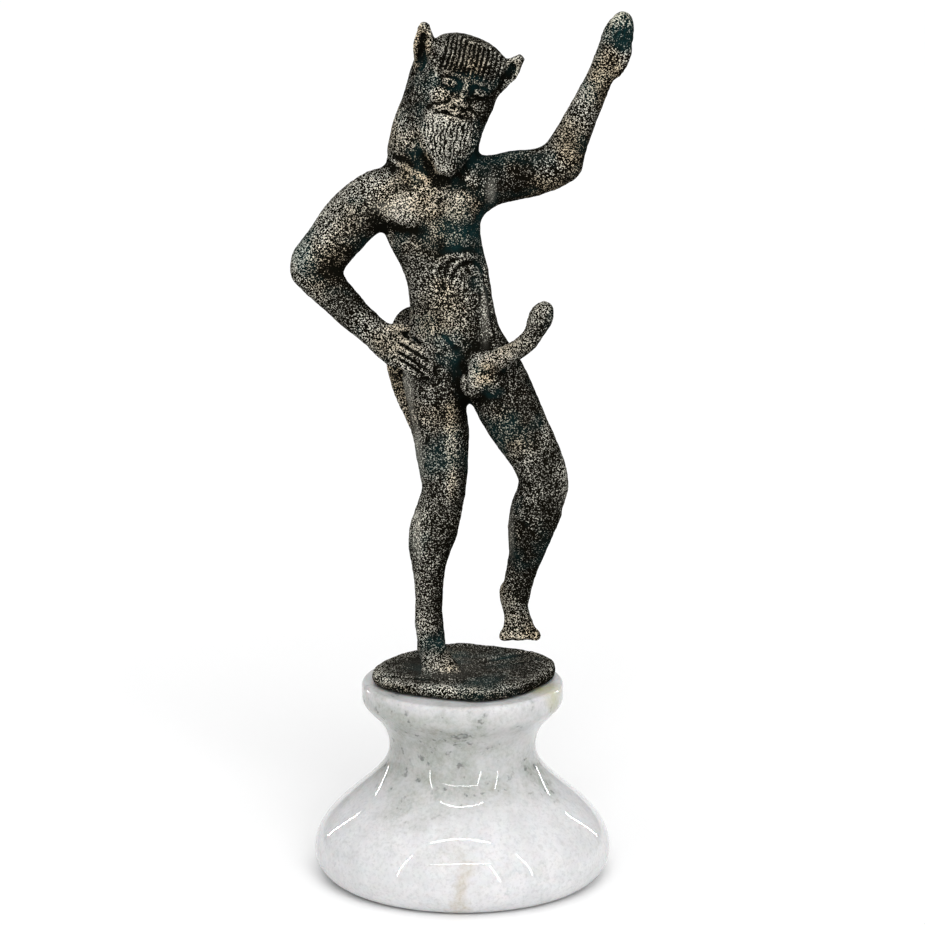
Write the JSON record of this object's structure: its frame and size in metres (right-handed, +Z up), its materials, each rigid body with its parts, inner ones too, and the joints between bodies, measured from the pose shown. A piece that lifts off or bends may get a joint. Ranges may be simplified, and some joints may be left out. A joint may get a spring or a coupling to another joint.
{
  "type": "pan statue",
  "caption": "Small cast bronze figure of a dancing goat-eared Pan on a thin plate, standing on a turned and polished marble base.",
  "frame": {"origin": "centre of the marble base's flat underside", "axes": "+Z up, the figure faces -Y, +X towards the raised arm"},
  "size_m": [0.0846, 0.0752, 0.2206],
  "materials": {
    "patinated_bronze": "dark patina with pale and verdigris flecks",
    "white_marble": "polished"
  },
  "bodies": {
    "root": {"pan_figure": "patinated_bronze", "marble_base": "white_marble"}
  },
  "joints": []
}
